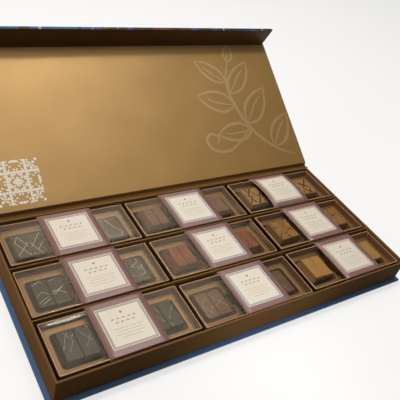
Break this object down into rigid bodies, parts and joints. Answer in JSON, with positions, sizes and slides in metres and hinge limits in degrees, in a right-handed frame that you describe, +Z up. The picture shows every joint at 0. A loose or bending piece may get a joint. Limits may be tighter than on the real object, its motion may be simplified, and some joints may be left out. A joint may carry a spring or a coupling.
{
  "type": "chocolate gift box",
  "caption": "Shallow hinged gift box with a magnetic front flap, open to show rows of small banded clear-topped cartons of pralines.",
  "frame": {"origin": "on the table under the centre of the tray's footprint, on the cover's underside", "axes": "+X to the right along the long side, -Y to the front where the flap closes, +Z up"},
  "size_m": [0.4082, 0.3394, 0.1473],
  "materials": {
    "greyboard": "plain grey board",
    "blue_paper": "satin printed paper",
    "gold_paper": "metallic satin paper",
    "gold_card": "metallic satin card",
    "gold_formed_sheet": "thin formed sheet, metallic gold",
    "clear_sheet": "clear folded sheet",
    "mauve_paper": "matt printed paper with a cream label",
    "dark_chocolate": "satin dark chocolate",
    "milk_chocolate": "satin milk chocolate",
    "white_chocolate": "satin caramel white chocolate",
    "magnet_metal": "plated magnet",
    "plate_steel": "thin steel"
  },
  "bodies": {
    "base_and_tray": {"base_board": "greyboard", "spine_board": "greyboard", "base_cover_paper": "blue_paper", "tray_board": "greyboard", "tray_wrap": "gold_paper", "partitions": "gold_card", "front_wall_plates": "plate_steel"},
    "lid": {"lid_board": "greyboard", "lid_lining": "gold_paper", "lid_cover_paper": "blue_paper", "hinge_papers": "blue_paper"},
    "flap": {"flap_board": "greyboard", "flap_lining": "gold_paper", "flap_cover_paper": "blue_paper", "flap_magnets": "magnet_metal"},
    "front_left_box": {"front_left_carton": "gold_card", "front_left_insert": "gold_formed_sheet", "front_left_clear_lid": "clear_sheet", "front_left_pralines": "dark_chocolate", "front_left_band": "mauve_paper"},
    "front_centre_box": {"front_centre_carton": "gold_card", "front_centre_insert": "gold_formed_sheet", "front_centre_clear_lid": "clear_sheet", "front_centre_pralines": "milk_chocolate", "front_centre_band": "mauve_paper"},
    "front_right_box": {"front_right_carton": "gold_card", "front_right_insert": "gold_formed_sheet", "front_right_clear_lid": "clear_sheet", "front_right_pralines": "white_chocolate", "front_right_band": "mauve_paper"},
    "middle_left_box": {"middle_left_carton": "gold_card", "middle_left_insert": "gold_formed_sheet", "middle_left_clear_lid": "clear_sheet", "middle_left_pralines": "dark_chocolate", "middle_left_band": "mauve_paper"},
    "middle_centre_box": {"middle_centre_carton": "gold_card", "middle_centre_insert": "gold_formed_sheet", "middle_centre_clear_lid": "clear_sheet", "middle_centre_pralines": "milk_chocolate", "middle_centre_band": "mauve_paper"},
    "middle_right_box": {"middle_right_carton": "gold_card", "middle_right_insert": "gold_formed_sheet", "middle_right_clear_lid": "clear_sheet", "middle_right_pralines": "white_chocolate", "middle_right_band": "mauve_paper"},
    "back_left_box": {"back_left_carton": "gold_card", "back_left_insert": "gold_formed_sheet", "back_left_clear_lid": "clear_sheet", "back_left_pralines": "dark_chocolate", "back_left_band": "mauve_paper"},
    "back_centre_box": {"back_centre_carton": "gold_card", "back_centre_insert": "gold_formed_sheet", "back_centre_clear_lid": "clear_sheet", "back_centre_pralines": "milk_chocolate", "back_centre_band": "mauve_paper"},
    "back_right_box": {"back_right_carton": "gold_card", "back_right_insert": "gold_formed_sheet", "back_right_clear_lid": "clear_sheet", "back_right_pralines": "white_chocolate", "back_right_band": "mauve_paper"}
  },
  "joints": [
    {"name": "lid_hinge", "type": "hinge", "parent": "base_and_tray", "child": "lid", "pos_m": [0, 0.0906, 0.02775], "axis": [-1, 0, 0], "range_deg": [-148, 38], "deforming": ["hinge_papers"]},
    {"name": "flap_hinge", "type": "hinge", "parent": "lid", "child": "flap", "pos_m": [0, 0.24483, 0.12227], "axis": [-1, 0, 0], "range_deg": [-8.5, 81.5]},
    {"name": "front_left_lift", "type": "slide", "parent": "base_and_tray", "child": "front_left_box", "axis": [0, 0, 1], "range_m": [0, 0.06]},
    {"name": "front_centre_lift", "type": "slide", "parent": "base_and_tray", "child": "front_centre_box", "axis": [0, 0, 1], "range_m": [0, 0.06]},
    {"name": "front_right_lift", "type": "slide", "parent": "base_and_tray", "child": "front_right_box", "axis": [0, 0, 1], "range_m": [0, 0.06]},
    {"name": "middle_left_lift", "type": "slide", "parent": "base_and_tray", "child": "middle_left_box", "axis": [0, 0, 1], "range_m": [0, 0.06]},
    {"name": "middle_centre_lift", "type": "slide", "parent": "base_and_tray", "child": "middle_centre_box", "axis": [0, 0, 1], "range_m": [0, 0.06]},
    {"name": "middle_right_lift", "type": "slide", "parent": "base_and_tray", "child": "middle_right_box", "axis": [0, 0, 1], "range_m": [0, 0.06]},
    {"name": "back_left_lift", "type": "slide", "parent": "base_and_tray", "child": "back_left_box", "axis": [0, 0, 1], "range_m": [0, 0.06]},
    {"name": "back_centre_lift", "type": "slide", "parent": "base_and_tray", "child": "back_centre_box", "axis": [0, 0, 1], "range_m": [0, 0.06]},
    {"name": "back_right_lift", "type": "slide", "parent": "base_and_tray", "child": "back_right_box", "axis": [0, 0, 1], "range_m": [0, 0.06]}
  ]
}
